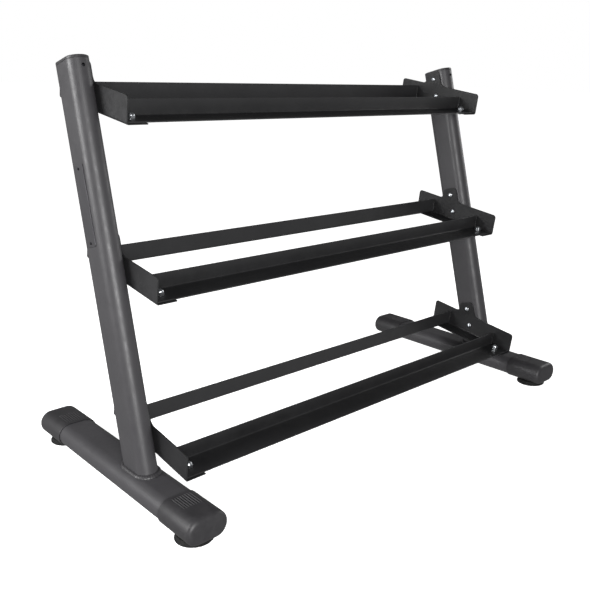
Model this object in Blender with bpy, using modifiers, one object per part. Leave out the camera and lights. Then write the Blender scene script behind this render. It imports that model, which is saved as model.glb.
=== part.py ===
"""Three-tier dumbbell rack.

Two flat-oval foot beams carry two flat-oval uprights that lean back. Three pairs of sheet
steel brackets on the uprights carry six angle rails, tipped towards the user. The rack stands
on four levelling feet that screw up into the foot beams.

Metres, +Z up. X runs along the rails, -Y is the user's side, and the origin lies on the floor
in the middle of the footprint.
"""

from math import atan2, cos, pi, radians, sin, tan

import bmesh
import bpy
from mathutils import Matrix, Vector

# ---------------------------------------------------------------- driving dimensions
BEAM_SPACING = 1.200          # centre to centre of the two foot beams
FOOT_SPACING = 0.560          # centre to centre of the levelling feet along a beam

BEAM_WIDTH = 0.090            # flat-oval tube of the feet
BEAM_HEIGHT = 0.051
BEAM_WALL = 0.0025
BEAM_PAST_FOOT = 0.040        # tube beyond the centre of a levelling foot

UPRIGHT_WIDTH = 0.049         # flat-oval tube of the uprights
UPRIGHT_DEPTH = 0.092
UPRIGHT_WALL = 0.0025
UPRIGHT_LENGTH = 0.867        # along its centre line, from the beam to the top cap
UPRIGHT_LEAN = radians(14.2)
UPRIGHT_FOOT_Y = -0.079       # centre line where it meets the beam

TIERS = ("bottom", "middle", "top")
FIRST_TIER = 0.037            # along the upright, from the beam
LAST_TIER_FROM_TOP = 0.102    # along the upright, below its end
TRAY_TILT = radians(8.5)
TRAY_DEPTH = 0.300
TRAY_FRONT_TO_UPRIGHT = 0.146

BRACKET_HEIGHT = 0.060
BRACKET_FLANGE = 0.049
SHEET = 0.003
BEND_RADIUS = 0.003           # inside a bend
BRACKET_TOE = 0.002           # corner radii of the bracket's plate
BRACKET_SHOULDER = 0.008
EAR_WIDTH = 0.050
EAR_HEIGHT = 0.038
EAR_CORNER = 0.012
EAR_ROOT = 0.020              # where the ear's front edge meets the plate

RAIL_BASE = 0.0615
FRONT_RAIL_LEG = 0.038
REAR_RAIL_LEG = 0.044
RAIL_INSET = 0.005            # rail edge behind the bracket's edge
RAIL_END_CLEARANCE = 0.0005   # between a rail's end and the bend inside the bracket

BOLT_SHANK = 0.010
BOLT_HEAD = 0.020
BOLT_DOME = 0.0055
BOLT_FROM_PLATE = 0.026       # bolt centre from the bracket's plate
NUT_WASHER_FACE = 0.016       # across the round face that the dome nut sits on
NUT_WASHER_FACE_HEIGHT = 0.0005
NUT_ACROSS_FLATS = 0.017
NUT_FLATS_HEIGHT = 0.0065
NUT_DOME = 0.0155             # across the foot of its dome
NUT_DOME_HEIGHT = 0.0060
THREAD_IN_NUT = 0.0075
NUT_BORE_PAST_BOLT = 0.0010
SHANK_CHAMFER = 0.0008        # at the tip of a bolt or a stud

SLEEVE_WALL = 0.0022
SLEEVE_GRIP = 0.098           # length of tube that a sleeve covers
SLEEVE_DOME = 0.011
SLEEVE_LEAD_IN = 0.0006       # chamfer round the mouth
GROOVE_COUNT = 8
GROOVE_PITCH = 0.0058
GROOVE_WIDTH = 0.0026
GROOVE_LENGTH = 0.046
GROOVE_CORNER = 0.0011
GROOVE_DEPTH = 0.0012
GROOVE_FROM_MOUTH = 0.010

PAD_DIAMETER = 0.080
PAD_WAIST = 0.074
PAD_HEIGHT = 0.010
PAD_RIM = 0.0035
PAD_TOP_CHAMFER = 0.0015
PAD_RIM_CHAMFER = 0.001
STUD_DIAMETER = 0.010
STUD_LENGTH = 0.040
STUD_IN_PAD = 0.006

CAP_THICKNESS = 0.006
CAP_EDGE = 0.002
CAP_CROWN_DROP = 0.0006       # of the rounded edge, half way in
CAP_SKIRT = 0.034
CAP_WALL = 0.003
CAP_SCREW_FROM_TOP = 0.016    # below the end of the tube
CAP_SCREW_HEAD = 0.0075
CAP_SCREW_DOME = 0.0019
CAP_SCREW_SHANK = 0.004
CAP_SCREW_LENGTH = 0.010

BEAD_SIZE = 0.0065            # leg of the fillet weld

PLATE_LENGTH = 0.172
PLATE_WIDTH = 0.040
PLATE_THICKNESS = 0.0015
PLATE_CORNER = 0.004
PLATE_FROM_TOP = 0.299        # its centre, along the upright, below the upright's end
PLATE_SCREW_SPACING = 0.156
PLATE_SCREW_HOLE = 0.0034

TOUCH_GAP = 0.0003            # between faces that rest on each other
SEAT_GAP = 0.0006             # between a foot pad and the sleeve above it
HOLE_CLEARANCE = 0.001        # on the diameter of a bolt hole
HALF_CIRCLE_STEPS = 10        # sides of each round end of a flat-oval tube
ARC_STEP = radians(22.5)      # of a rounded corner
BEND_STEP = radians(30)       # of a bend in sheet
QUARTER_STEPS = 4             # of a nose or a weld bead
DOME_STEPS = 3                # of a bolt or screw head
HOLE_SIDES = 12
STUD_SIDES = 12
BOLT_SIDES = 14
NUT_SIDES = 12                # points round a nut: its corners and the middles of its flats
PAD_SIDES = 24
SMOOTH_BELOW = radians(35)    # edges sharper than this stay sharp

# ---------------------------------------------------------------- places worked out from them
SLEEVE_BOTTOM = PAD_HEIGHT + SEAT_GAP
BEAM_BOTTOM = SLEEVE_BOTTOM + SLEEVE_WALL + TOUCH_GAP
BEAM_TOP = BEAM_BOTTOM + BEAM_HEIGHT
BEAM_LENGTH = FOOT_SPACING + 2 * BEAM_PAST_FOOT
UPRIGHT_BASE_Z = BEAM_TOP + TOUCH_GAP
TIER_SPACING = (UPRIGHT_LENGTH - LAST_TIER_FROM_TOP - FIRST_TIER) / (len(TIERS) - 1)
AXIS = Vector((0, sin(UPRIGHT_LEAN), cos(UPRIGHT_LEAN)))
PLATE_FACE_X = BEAM_SPACING / 2 - UPRIGHT_WIDTH / 2 - TOUCH_GAP
RAIL_END_X = PLATE_FACE_X - SHEET - BEND_RADIUS - RAIL_END_CLEARANCE
BOLT_X = PLATE_FACE_X - SHEET - BOLT_FROM_PLATE
RAIL_BOTTOM = SHEET + TOUCH_GAP
RAIL_TOP = RAIL_BOTTOM + SHEET
FRONT_BOLT_Y = RAIL_INSET + RAIL_BASE / 2
REAR_BOLT_Y = TRAY_DEPTH - FRONT_BOLT_Y
SIDES = (("left", -1), ("right", 1))
ENDS = (("front", -1), ("rear", 1))
MERGE = TOUCH_GAP / 30        # points closer than this are one
SIDEWAYS = Matrix(((0, 0, 1, 0), (1, 0, 0, 0), (0, 1, 0, 0), (0, 0, 0, 1)))


# ---------------------------------------------------------------- scene and helpers
def clear_scene():
    for obj in list(bpy.data.objects):
        bpy.data.objects.remove(obj, do_unlink=True)


def collection(name):
    new = bpy.data.collections.new(name)
    bpy.context.scene.collection.children.link(new)
    return new


def material(name, colour, roughness, metallic):
    new = bpy.data.materials.new(name)
    new.use_nodes = True
    shader = new.node_tree.nodes["Principled BSDF"]
    shader.inputs["Base Color"].default_value = (*colour, 1)
    shader.inputs["Roughness"].default_value = roughness
    shader.inputs["Metallic"].default_value = metallic
    new.diffuse_color = (*colour, 1)
    return new


clear_scene()
PARTS = collection("dumbbell_rack")
CUTTERS = collection("cutters")
FRAME_COAT = ("frame_powder_coat", (0.085, 0.086, 0.090), 0.45, 0.0)
SHELF_COAT = ("shelf_powder_coat", (0.022, 0.022, 0.024), 0.50, 0.0)
CAP_PLASTIC = ("black_polypropylene", (0.050, 0.050, 0.053), 0.50, 0.0)
FOOT_RUBBER = ("black_rubber", (0.018, 0.018, 0.019), 0.80, 0.0)
ZINC = ("zinc_plated_steel", (0.62, 0.63, 0.65), 0.25, 1.0)
BLACK_STEEL = ("black_oxide_steel", (0.020, 0.020, 0.021), 0.40, 0.8)
PLATE_COAT = ("name_plate_aluminium", (0.110, 0.111, 0.115), 0.40, 0.3)


def add_part(name, mesh, finish, matrix=None):
    """One named solid with its own material."""
    part = bpy.data.objects.new(name, mesh)
    part.matrix_world = matrix or Matrix()
    mesh.materials.clear()
    mesh.materials.append(material(name + "_" + finish[0], *finish[1:]))
    mesh.shade_smooth()
    mesh.set_sharp_from_angle(angle=SMOOTH_BELOW)
    PARTS.objects.link(part)
    return part


def add_cutter(name, mesh, matrix):
    cutter = bpy.data.objects.new(name, mesh)
    cutter.matrix_world = matrix
    cutter.hide_render = True
    cutter.display_type = "WIRE"
    CUTTERS.objects.link(cutter)
    return cutter


def boolean(part, cutter, operation="DIFFERENCE"):
    change = part.modifiers.new(cutter.name, "BOOLEAN")
    change.operation = operation
    change.solver = "EXACT"
    change.object = cutter


def rounded(corners, step=ARC_STEP):
    """A closed outline whose corners (x, y, radius) are turned into arcs."""
    points = []
    for n, (x, y, radius) in enumerate(corners):
        corner = Vector((x, y))
        before = Vector(corners[n - 1][:2]) - corner
        after = Vector(corners[(n + 1) % len(corners)][:2]) - corner
        before.normalize()
        after.normalize()
        half = before.angle(after) / 2
        if radius == 0:
            arc = [corner]
        else:
            centre = corner + (before + after).normalized() * radius / sin(half)
            start = corner + before * radius / tan(half) - centre
            end = corner + after * radius / tan(half) - centre
            first = atan2(start.y, start.x)
            sweep = (atan2(end.y, end.x) - first + pi) % (2 * pi) - pi
            count = max(1, round(abs(sweep) / step))
            angles = [first + sweep * k / count for k in range(count + 1)]
            arc = [centre + radius * Vector((cos(a), sin(a))) for a in angles]
        points += [p for p in arc if not points or (p - points[-1]).length > MERGE]
    if (points[0] - points[-1]).length < MERGE:
        points.pop()
    return points


def rectangle(width, height, radius):
    x, y = width / 2, height / 2
    return rounded([(-x, -y, radius), (x, -y, radius), (x, y, radius), (-x, y, radius)])


def oval(width, height):
    """A flat-oval outline: two flats joined by half circles, always with as many points."""
    radius = min(width, height) / 2
    flat = abs(width - height) / 2
    first = -pi / 2 if width > height else 0
    points = []
    for end in (0, 1):
        turn = first + pi * end
        centre = Vector((cos(turn + pi / 2), sin(turn + pi / 2))) * flat
        for k in range(HALF_CIRCLE_STEPS + 1):
            angle = turn + pi * k / HALF_CIRCLE_STEPS
            points.append(centre + radius * Vector((cos(angle), sin(angle))))
    return points


def polygon(radius, sides=HOLE_SIDES):
    angles = [2 * pi * k / sides for k in range(sides)]
    return [Vector((radius * cos(a), radius * sin(a))) for a in angles]


def prism(outlines, length):
    """A mesh extruded along Z, half each way, from an outline and the outlines of its holes."""
    curve = bpy.data.curves.new("outline", "CURVE")
    curve.dimensions = "2D"
    curve.fill_mode = "BOTH"
    curve.extrude = length / 2
    for outline in outlines:
        spline = curve.splines.new("POLY")
        spline.points.add(len(outline) - 1)
        for point, place in zip(spline.points, outline):
            point.co = (place.x, place.y, 0, 1)
        spline.use_cyclic_u = True
    drawn = bpy.data.objects.new("outline", curve)
    bpy.context.scene.collection.objects.link(drawn)
    bpy.context.view_layer.update()
    evaluated = drawn.evaluated_get(bpy.context.evaluated_depsgraph_get())
    mesh = bpy.data.meshes.new_from_object(evaluated)
    bpy.data.objects.remove(drawn, do_unlink=True)
    bpy.data.curves.remove(curve)
    weld(mesh)
    return mesh


def weld(mesh):
    shape = bmesh.new()
    shape.from_mesh(mesh)
    bmesh.ops.remove_doubles(shape, verts=shape.verts, dist=MERGE)
    bmesh.ops.recalc_face_normals(shape, faces=shape.faces)
    shape.to_mesh(mesh)
    shape.free()


def loft(rings, ring_shut=False):
    """A mesh through rings of equally many points, capped at its ends or shut into a loop."""
    shape = bmesh.new()
    rows = [[shape.verts.new(place) for place in ring] for ring in rings]
    pairs = list(zip(rows, rows[1:]))
    if ring_shut:
        pairs.append((rows[-1], rows[0]))
    for row, following in pairs:
        for n in range(len(row)):
            shape.faces.new((row[n - 1], row[n], following[n], following[n - 1]))
    if not ring_shut:
        shape.faces.new(rows[0])
        shape.faces.new(rows[-1])
    bmesh.ops.recalc_face_normals(shape, faces=shape.faces)
    mesh = bpy.data.meshes.new("loft")
    shape.to_mesh(mesh)
    shape.free()
    return mesh


def turned(name, profile, finish, matrix, steps):
    """A part turned about its own Z from (radius, height) points, top to bottom outside."""
    shape = bmesh.new()
    points = [shape.verts.new((radius, 0, height)) for radius, height in profile]
    for upper, lower in zip(points, points[1:]):
        shape.edges.new((upper, lower))
    mesh = bpy.data.meshes.new(name)
    shape.to_mesh(mesh)
    shape.free()
    part = add_part(name, mesh, finish, matrix)
    screw = part.modifiers.new("turn", "SCREW")
    screw.axis = "Z"
    screw.steps = steps
    screw.render_steps = steps
    screw.use_merge_vertices = True
    screw.merge_threshold = MERGE
    screw.use_smooth_shade = True
    return part


def dome_profile(radius_at_edge, height, base):
    """Points of a low dome from its top on the axis to its edge, base being the edge's height."""
    big = (radius_at_edge**2 + height**2) / (2 * height)
    points = []
    for k in range(DOME_STEPS + 1):
        radius = radius_at_edge * k / DOME_STEPS
        points.append((radius, base + height - big + (big**2 - radius**2) ** 0.5))
    return points


# ---------------------------------------------------------------- frames of reference
def beam_frame(side):
    """Along a foot beam: local Z runs to the rear, local Y down."""
    middle = BEAM_BOTTOM + BEAM_HEIGHT / 2
    return Matrix.Translation((side * BEAM_SPACING / 2, 0, middle)) @ Matrix.Rotation(-pi / 2, 4, "X")


def upright_frame(side):
    """Along an upright: local Z is its centre line, from the top of the beam."""
    foot = (side * BEAM_SPACING / 2, UPRIGHT_FOOT_Y, UPRIGHT_BASE_Z)
    return Matrix.Translation(foot) @ Matrix.Rotation(-UPRIGHT_LEAN, 4, "X")


def tray_frame(tier):
    """On a tier: local Y runs to the rear along the tray, Z square to it."""
    along = FIRST_TIER + TIER_SPACING * tier
    crossing = Vector((0, UPRIGHT_FOOT_Y, UPRIGHT_BASE_Z)) + AXIS * along
    rearward = Vector((0, cos(TRAY_TILT), sin(TRAY_TILT)))
    origin = crossing - rearward * TRAY_FRONT_TO_UPRIGHT
    return Matrix.Translation(origin) @ Matrix.Rotation(TRAY_TILT, 4, "X")


# ---------------------------------------------------------------- feet
def foot_y(end):
    return end * FOOT_SPACING / 2


def make_beam(name, side):
    tube = (oval(BEAM_WIDTH, BEAM_HEIGHT), oval(BEAM_WIDTH - 2 * BEAM_WALL, BEAM_HEIGHT - 2 * BEAM_WALL))
    beam = add_part("foot_beam_" + name, prism(tube, BEAM_LENGTH), FRAME_COAT, beam_frame(side))
    for end_name, end in ENDS:
        place = (side * BEAM_SPACING / 2, foot_y(end), SLEEVE_BOTTOM)
        hole = polygon((STUD_DIAMETER + HOLE_CLEARANCE) / 2)
        drill = add_cutter(
            f"stud_hole_{end_name}_{name}", prism([hole], BEAM_HEIGHT), Matrix.Translation(place)
        )
        boolean(beam, drill)
        make_sleeve(f"end_sleeve_{end_name}_{name}", side, end, drill)
        make_levelling_foot(f"{end_name}_{name}", side, end)


def make_sleeve(name, side, end, drill):
    """A moulded sleeve over the end of a foot beam, with a domed nose and a ribbed grip."""
    width = BEAM_WIDTH + 2 * (SLEEVE_WALL + TOUCH_GAP)
    height = BEAM_HEIGHT + 2 * (SLEEVE_WALL + TOUCH_GAP)
    nose = BEAM_LENGTH / 2 + TOUCH_GAP
    mouth = BEAM_LENGTH / 2 - SLEEVE_GRIP
    sections = [(mouth, SLEEVE_LEAD_IN), (mouth + SLEEVE_LEAD_IN, 0), (nose, 0)]
    for k in range(1, QUARTER_STEPS + 1):
        turn = pi / 2 * k / QUARTER_STEPS
        sections.append((nose + SLEEVE_DOME * sin(turn), SLEEVE_DOME * (1 - cos(turn))))
    rings = []
    for along, inset in sections:
        outline = oval(width - 2 * inset, height - 2 * inset)
        rings.append([(p.x, p.y, end * along) for p in outline])
    sleeve = add_part(name, loft(rings), CAP_PLASTIC, beam_frame(side))

    pocket = oval(BEAM_WIDTH + 2 * TOUCH_GAP, BEAM_HEIGHT + 2 * TOUCH_GAP)
    middle = Matrix.Translation((0, 0, end * (nose - SLEEVE_GRIP)))
    bore = add_cutter(name + "_pocket", prism([pocket], 2 * SLEEVE_GRIP), beam_frame(side) @ middle)
    boolean(sleeve, bore)
    boolean(sleeve, drill)

    top = BEAM_BOTTOM + BEAM_HEIGHT + TOUCH_GAP + SLEEVE_WALL
    groove_y = end * (mouth + GROOVE_FROM_MOUTH + GROOVE_LENGTH / 2)
    for k in range(GROOVE_COUNT):
        offset = (k - (GROOVE_COUNT - 1) / 2) * GROOVE_PITCH
        outer_drop = max(0, abs(offset) - (BEAM_WIDTH - BEAM_HEIGHT) / 2)
        radius = height / 2
        drop = radius - (radius**2 - outer_drop**2) ** 0.5
        slot = rectangle(GROOVE_WIDTH, GROOVE_LENGTH, GROOVE_CORNER)
        place = (side * BEAM_SPACING / 2 + offset, groove_y, top - drop)
        groove = add_cutter(f"{name}_groove_{k}", prism([slot], 2 * GROOVE_DEPTH), Matrix.Translation(place))
        boolean(sleeve, groove)


def make_levelling_foot(name, side, end):
    """A rubber pad that does not turn and the threaded stud that does."""
    place = Matrix.Translation((side * BEAM_SPACING / 2, foot_y(end), 0))
    socket = (STUD_DIAMETER + HOLE_CLEARANCE) / 2
    floor = PAD_HEIGHT - STUD_IN_PAD - TOUCH_GAP
    pad = [
        (0, floor),
        (socket, floor),
        (socket, PAD_HEIGHT),
        (PAD_WAIST / 2 - PAD_TOP_CHAMFER, PAD_HEIGHT),
        (PAD_WAIST / 2, PAD_HEIGHT - PAD_TOP_CHAMFER),
        (PAD_WAIST / 2, PAD_RIM + PAD_RIM_CHAMFER),
        (PAD_DIAMETER / 2 - PAD_RIM_CHAMFER, PAD_RIM),
        (PAD_DIAMETER / 2, PAD_RIM - PAD_RIM_CHAMFER),
        (PAD_DIAMETER / 2, PAD_RIM_CHAMFER),
        (PAD_DIAMETER / 2 - PAD_RIM_CHAMFER, 0),
        (0, 0),
    ]
    turned("foot_pad_" + name, pad, FOOT_RUBBER, place, PAD_SIDES)
    bottom = PAD_HEIGHT - STUD_IN_PAD
    radius = STUD_DIAMETER / 2
    stud = [
        (0, bottom + STUD_LENGTH),
        (radius - SHANK_CHAMFER, bottom + STUD_LENGTH),
        (radius, bottom + STUD_LENGTH - SHANK_CHAMFER),
        (radius, bottom + SHANK_CHAMFER),
        (radius - SHANK_CHAMFER, bottom),
        (0, bottom),
    ]
    turned("foot_stud_" + name, stud, ZINC, place, STUD_SIDES)


# ---------------------------------------------------------------- uprights
def make_upright(name, side):
    frame = upright_frame(side)
    inner = oval(UPRIGHT_WIDTH - 2 * UPRIGHT_WALL, UPRIGHT_DEPTH - 2 * UPRIGHT_WALL)
    spare = UPRIGHT_DEPTH * tan(UPRIGHT_LEAN)
    tube = prism([oval(UPRIGHT_WIDTH, UPRIGHT_DEPTH), inner], UPRIGHT_LENGTH + spare)
    middle = Matrix.Translation((0, 0, (UPRIGHT_LENGTH - spare) / 2))
    upright = add_part("upright_" + name, tube, FRAME_COAT, frame @ middle)
    slab = rectangle(2 * UPRIGHT_WIDTH, 3 * UPRIGHT_DEPTH, 0)
    below = (side * BEAM_SPACING / 2, UPRIGHT_FOOT_Y, UPRIGHT_BASE_Z - spare)
    boolean(upright, add_cutter("floor_cut_" + name, prism([slab], 2 * spare), Matrix.Translation(below)))

    make_weld_bead(name, side)
    make_top_cap(name, frame, upright)
    make_name_plate(name, side, frame)


def make_weld_bead(name, side):
    """The fillet weld round the foot of an upright, following its lean."""
    section = [(TOUCH_GAP, TOUCH_GAP)]
    for k in range(QUARTER_STEPS + 1):
        turn = pi / 2 * k / QUARTER_STEPS
        section.append((TOUCH_GAP + BEAD_SIZE * cos(turn), TOUCH_GAP + BEAD_SIZE * sin(turn)))
    rings = []
    for out, up in section:
        outline = oval(UPRIGHT_WIDTH + 2 * out, UPRIGHT_DEPTH / cos(UPRIGHT_LEAN) + 2 * out)
        shift = up * tan(UPRIGHT_LEAN)
        rings.append([(p.x, p.y + shift, up) for p in outline])
    foot = Matrix.Translation((side * BEAM_SPACING / 2, UPRIGHT_FOOT_Y, BEAM_TOP))
    add_part("weld_bead_" + name, loft(rings, ring_shut=True), FRAME_COAT, foot)


def make_top_cap(name, frame, upright):
    """A moulded cap whose skirt plugs the upright, held by one screw from the front."""
    seat = UPRIGHT_LENGTH + TOUCH_GAP
    plug_width = UPRIGHT_WIDTH - 2 * (UPRIGHT_WALL + TOUCH_GAP)
    plug_depth = UPRIGHT_DEPTH - 2 * (UPRIGHT_WALL + TOUCH_GAP)
    slack = UPRIGHT_WIDTH - plug_width
    sections = [
        (seat + CAP_THICKNESS, 2 * CAP_EDGE),
        (seat + CAP_THICKNESS - CAP_CROWN_DROP, CAP_EDGE),
        (seat + CAP_THICKNESS - CAP_EDGE, 0),
        (seat, 0),
        (seat, slack),
        (seat - CAP_SKIRT, slack),
        (seat - CAP_SKIRT, slack + 2 * CAP_WALL),
        (seat, slack + 2 * CAP_WALL),
    ]
    rings = []
    for height, less in sections:
        outline = oval(UPRIGHT_WIDTH - less, UPRIGHT_DEPTH - less)
        rings.append([(p.x, p.y, height) for p in outline])
    cap = add_part("top_cap_" + name, loft(rings), CAP_PLASTIC, frame)

    front = -UPRIGHT_DEPTH / 2
    height = UPRIGHT_LENGTH - CAP_SCREW_FROM_TOP
    outward = Matrix.Rotation(pi / 2, 4, "X")
    place = frame @ Matrix.Translation((0, front, height)) @ outward
    hole = prism([polygon((CAP_SCREW_SHANK + HOLE_CLEARANCE) / 2)], 4 * (UPRIGHT_WALL + CAP_WALL))
    drill = add_cutter("cap_screw_hole_" + name, hole, place)
    boolean(upright, drill)
    boolean(cap, drill)
    under_head = 2 * TOUCH_GAP
    shank = CAP_SCREW_SHANK / 2
    profile = dome_profile(CAP_SCREW_HEAD / 2, CAP_SCREW_DOME, under_head)
    profile += [(shank, under_head), (shank, -CAP_SCREW_LENGTH), (0, -CAP_SCREW_LENGTH)]
    turned("top_cap_screw_" + name, profile, BLACK_STEEL, place, STUD_SIDES)


def make_name_plate(name, side, frame):
    """A plain plate on the outer flat of an upright, drilled for two small screws."""
    outline = rectangle(PLATE_LENGTH, PLATE_WIDTH, PLATE_CORNER)
    holes = []
    for end in (-1, 1):
        ring = polygon(PLATE_SCREW_HOLE / 2)
        holes.append([p + Vector((end * PLATE_SCREW_SPACING / 2, 0)) for p in ring])
    out = side * (UPRIGHT_WIDTH / 2 + TOUCH_GAP + PLATE_THICKNESS / 2)
    centre = Matrix.Translation((out, 0, UPRIGHT_LENGTH - PLATE_FROM_TOP))
    place = frame @ centre @ Matrix.Rotation(pi / 2, 4, "Y")
    add_part("name_plate_" + name, prism([outline, *holes], PLATE_THICKNESS), PLATE_COAT, place)


# ---------------------------------------------------------------- tiers
def bracket_side_outline():
    """The bracket's plate with its ear, which runs up the inner flat of the upright."""
    slant = UPRIGHT_LEAN + TRAY_TILT
    up = Vector((sin(slant), cos(slant)))
    across = Vector((cos(slant), -sin(slant)))
    crossing = Vector((TRAY_FRONT_TO_UPRIGHT, 0)) + up * BRACKET_HEIGHT / cos(slant)
    half = EAR_WIDTH / 2
    ear_front = crossing.x - half / cos(slant)
    ear_rear = crossing.x + half / cos(slant)
    tip_front = crossing + up * EAR_HEIGHT - across * half
    tip_rear = crossing + up * EAR_HEIGHT + across * half
    return rounded([
        (0, 0, BRACKET_TOE),
        (TRAY_DEPTH, 0, BRACKET_TOE),
        (TRAY_DEPTH, BRACKET_HEIGHT, BRACKET_SHOULDER),
        (ear_rear, BRACKET_HEIGHT, EAR_CORNER),
        (tip_rear.x, tip_rear.y, EAR_CORNER),
        (tip_front.x, tip_front.y, EAR_CORNER),
        (ear_front, BRACKET_HEIGHT, EAR_ROOT),
        (0, BRACKET_HEIGHT, BRACKET_SHOULDER),
    ])


def angle_outline(base, leg):
    """An L section with a bent corner: base along +x, leg up +y."""
    return rounded([
        (0, 0, BEND_RADIUS + SHEET),
        (base, 0, 0),
        (base, SHEET, 0),
        (SHEET, SHEET, BEND_RADIUS),
        (SHEET, leg, 0),
        (0, leg, 0),
    ], BEND_STEP)


def make_bracket(tier, side_name, side, tray, drills):
    """Folded sheet: a plate with an ear, and a bottom flange that the rails rest on."""
    name = f"bracket_{TIERS[tier]}_{side_name}"
    tall = BRACKET_HEIGHT + 2 * EAR_HEIGHT
    section = [Vector((-side * p.x, p.y)) for p in angle_outline(BRACKET_FLANGE, tall)]
    stand = Matrix.Translation((side * PLATE_FACE_X, TRAY_DEPTH / 2, 0)) @ Matrix.Rotation(pi / 2, 4, "X")
    bracket = add_part(name, prism([section], TRAY_DEPTH + 2 * SHEET), SHELF_COAT, tray @ stand)
    reach = 2 * (BRACKET_FLANGE + SHEET)
    middle = Matrix.Translation((side * PLATE_FACE_X, 0, 0))
    trim = add_cutter(name + "_trim", prism([bracket_side_outline()], reach), tray @ middle @ SIDEWAYS)
    boolean(bracket, trim, "INTERSECT")
    for drill in drills:
        boolean(bracket, drill)


def make_rail(tier, end_name, tray, drills):
    """An angle rail: its base lies on the bracket flanges, its leg stands on the inner side."""
    if end_name == "front":
        leg, corner, way = FRONT_RAIL_LEG, RAIL_INSET + RAIL_BASE, -1
    else:
        leg, corner, way = REAR_RAIL_LEG, TRAY_DEPTH - RAIL_INSET - RAIL_BASE, 1
    section = [Vector((way * p.x, p.y)) for p in angle_outline(RAIL_BASE, leg)]
    place = tray @ Matrix.Translation((0, corner, RAIL_BOTTOM)) @ SIDEWAYS
    rail = add_part(f"rail_{TIERS[tier]}_{end_name}", prism([section], 2 * RAIL_END_X), SHELF_COAT, place)
    for drill in drills:
        boolean(rail, drill)


def circle(radius, height):
    """A circle of points round a nut, at one height."""
    return [(p.x, p.y, height) for p in polygon(radius, NUT_SIDES)]


def hexagon_ring(height):
    """The nut's six flats at one height, with a point at each corner and mid flat."""
    corners = polygon(NUT_ACROSS_FLATS / 2 / cos(pi / 6), 6)
    points = []
    for n, corner in enumerate(corners):
        middle = (corner + corners[(n + 1) % len(corners)]) / 2
        points += [(corner.x, corner.y, height), (middle.x, middle.y, height)]
    return points


def make_rail_bolt(name, place):
    """A round-headed bolt up through flange and rail, and its dome nut on top of the rail."""
    seat = RAIL_TOP + TOUCH_GAP
    flats_bottom = seat + NUT_WASHER_FACE_HEIGHT
    flats_top = flats_bottom + NUT_FLATS_HEIGHT
    tip = seat + THREAD_IN_NUT
    shank = BOLT_SHANK / 2
    profile = [(0, tip), (shank - SHANK_CHAMFER, tip), (shank, tip - SHANK_CHAMFER), (shank, -TOUCH_GAP)]
    for radius, height in reversed(dome_profile(BOLT_HEAD / 2, BOLT_DOME, TOUCH_GAP)):
        profile.append((radius, -height))
    turned("rail_bolt_" + name, profile, ZINC, place, BOLT_SIDES)
    dome = dome_profile(NUT_DOME / 2, NUT_DOME_HEIGHT, flats_top)
    rings = [circle(radius, height) for radius, height in dome[1:]]
    rings += [hexagon_ring(flats_top), hexagon_ring(flats_bottom)]
    rings += [circle(NUT_WASHER_FACE / 2, flats_bottom), circle(NUT_WASHER_FACE / 2, seat)]
    bore = (shank + TOUCH_GAP) / cos(pi / NUT_SIDES)
    rings += [circle(bore, seat), circle(bore, tip + NUT_BORE_PAST_BOLT)]
    add_part("rail_nut_" + name, loft(rings), ZINC, place)


def make_tier(tier):
    tray = tray_frame(tier)
    drills = {}
    for end_name, depth in (("front", FRONT_BOLT_Y), ("rear", REAR_BOLT_Y)):
        for side_name, side in SIDES:
            name = f"{TIERS[tier]}_{end_name}_{side_name}"
            place = tray @ Matrix.Translation((side * BOLT_X, depth, 0))
            hole = prism([polygon((BOLT_SHANK + HOLE_CLEARANCE) / 2)], 4 * RAIL_TOP)
            drills[end_name, side_name] = add_cutter("bolt_hole_" + name, hole, place)
            make_rail_bolt(name, place)
    for end_name, _ in ENDS:
        make_rail(tier, end_name, tray, [drills[end_name, side_name] for side_name, _ in SIDES])
    for side_name, side in SIDES:
        make_bracket(tier, side_name, side, tray, [drills[end_name, side_name] for end_name, _ in ENDS])


for side_name, side in SIDES:
    make_beam(side_name, side)
    make_upright(side_name, side)
for tier in range(len(TIERS)):
    make_tier(tier)
bpy.context.view_layer.update()
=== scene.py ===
"""Finishes and fine shapes for a three-tier dumbbell rack: powder-coated steel tube and angle
rails, moulded polypropylene sleeves and caps, rubber levelling feet and zinc-plated bolts."""

from math import cos, pi, radians, sin, tan

import bmesh
import bpy
from mathutils import Matrix, Vector


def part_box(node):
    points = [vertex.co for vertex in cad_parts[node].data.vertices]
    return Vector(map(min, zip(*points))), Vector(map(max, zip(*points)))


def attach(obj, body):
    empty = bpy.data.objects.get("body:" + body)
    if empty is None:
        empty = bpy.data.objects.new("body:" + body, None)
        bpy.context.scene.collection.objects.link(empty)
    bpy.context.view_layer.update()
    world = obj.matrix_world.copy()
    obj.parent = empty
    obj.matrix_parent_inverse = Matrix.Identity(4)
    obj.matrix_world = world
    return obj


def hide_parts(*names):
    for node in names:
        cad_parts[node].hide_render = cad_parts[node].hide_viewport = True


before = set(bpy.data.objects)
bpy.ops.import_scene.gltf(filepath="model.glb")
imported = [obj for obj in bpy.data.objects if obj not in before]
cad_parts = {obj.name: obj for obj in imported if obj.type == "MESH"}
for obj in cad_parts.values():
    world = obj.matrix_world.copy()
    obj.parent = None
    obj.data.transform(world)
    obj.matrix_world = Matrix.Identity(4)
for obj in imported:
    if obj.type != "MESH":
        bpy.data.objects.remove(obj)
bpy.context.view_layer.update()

# ---------------------------------------------------------------- sizes of the steelwork
MM = 0.001
SIDES = (("left", -1), ("right", 1))
ENDS = (("front", -1), ("rear", 1))
TIERS = ("bottom", "middle", "top")

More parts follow.
